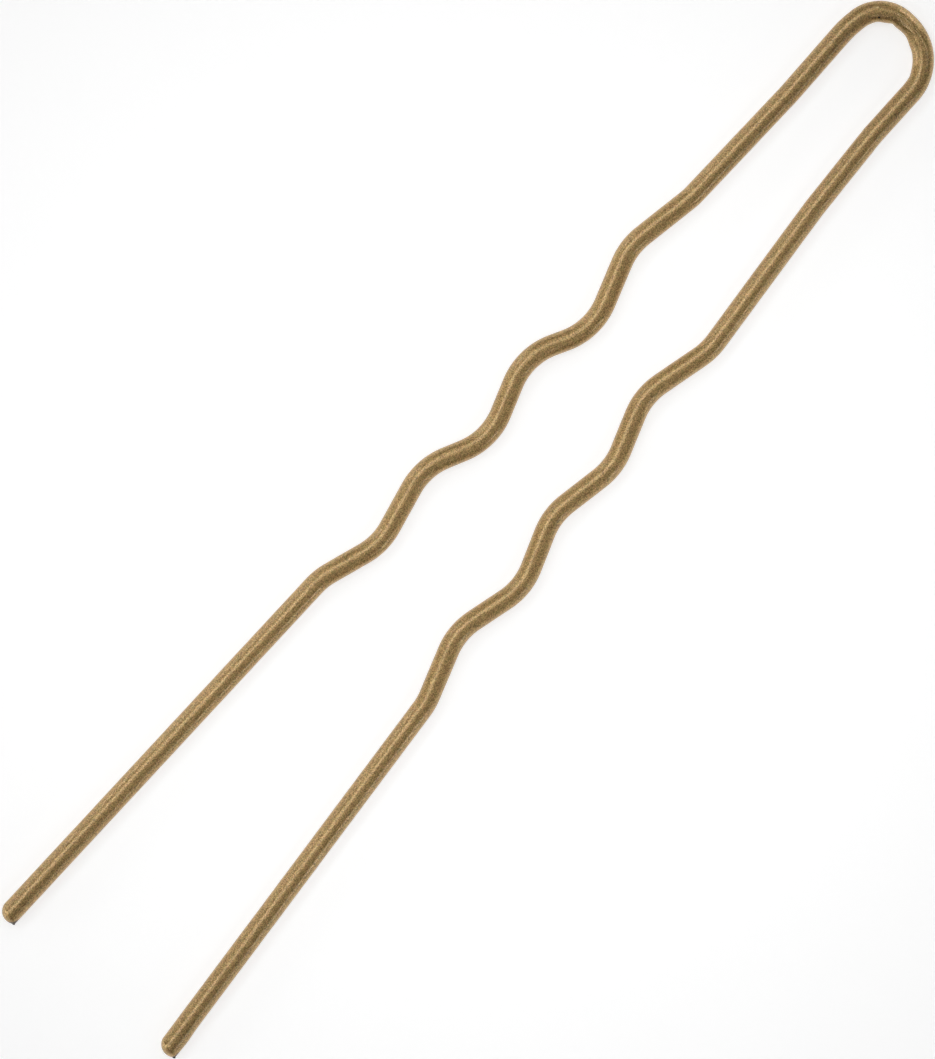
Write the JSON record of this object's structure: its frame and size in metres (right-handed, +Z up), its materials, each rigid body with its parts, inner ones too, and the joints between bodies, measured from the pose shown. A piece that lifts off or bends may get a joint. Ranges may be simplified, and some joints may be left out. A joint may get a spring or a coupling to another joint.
{
  "type": "waved hairpin",
  "caption": "Waved U-shaped hairpin bent from one round spring-steel wire, with a bronze lacquer skin and legs that flex.",
  "frame": {"origin": "middle of the pin's overall length and width, on the plane that it lies on", "axes": "+X along the pin towards the bow, +Y across it towards the left leg, +Z up from the plane that it lies on"},
  "size_m": [0.0649, 0.0116, 0.0011],
  "materials": {
    "steel": "bare drawn spring steel",
    "lacquer": "baked bronze metallic lacquer, semi-gloss with fine flake"
  },
  "bodies": {
    "bow": {"bow_wire": "steel", "bow_lacquer": "lacquer"},
    "left_leg": {"left_leg_wire": "steel", "left_leg_lacquer": "lacquer"},
    "right_leg": {"right_leg_wire": "steel", "right_leg_lacquer": "lacquer"}
  },
  "joints": [
    {"name": "left_flex", "type": "hinge", "parent": "bow", "child": "left_leg", "pos_m": [0.02285, 0.00188, 0.00055], "axis": [0, 0, -1], "range_deg": [-4.5, 4.5], "stiffness_Nm_per_rad": 0.41},
    {"name": "right_flex", "type": "hinge", "parent": "bow", "child": "right_leg", "pos_m": [0.02285, -0.00295, 0.00055], "axis": [0, 0, 1], "range_deg": [-4.5, 4.5], "stiffness_Nm_per_rad": 0.41}
  ]
}
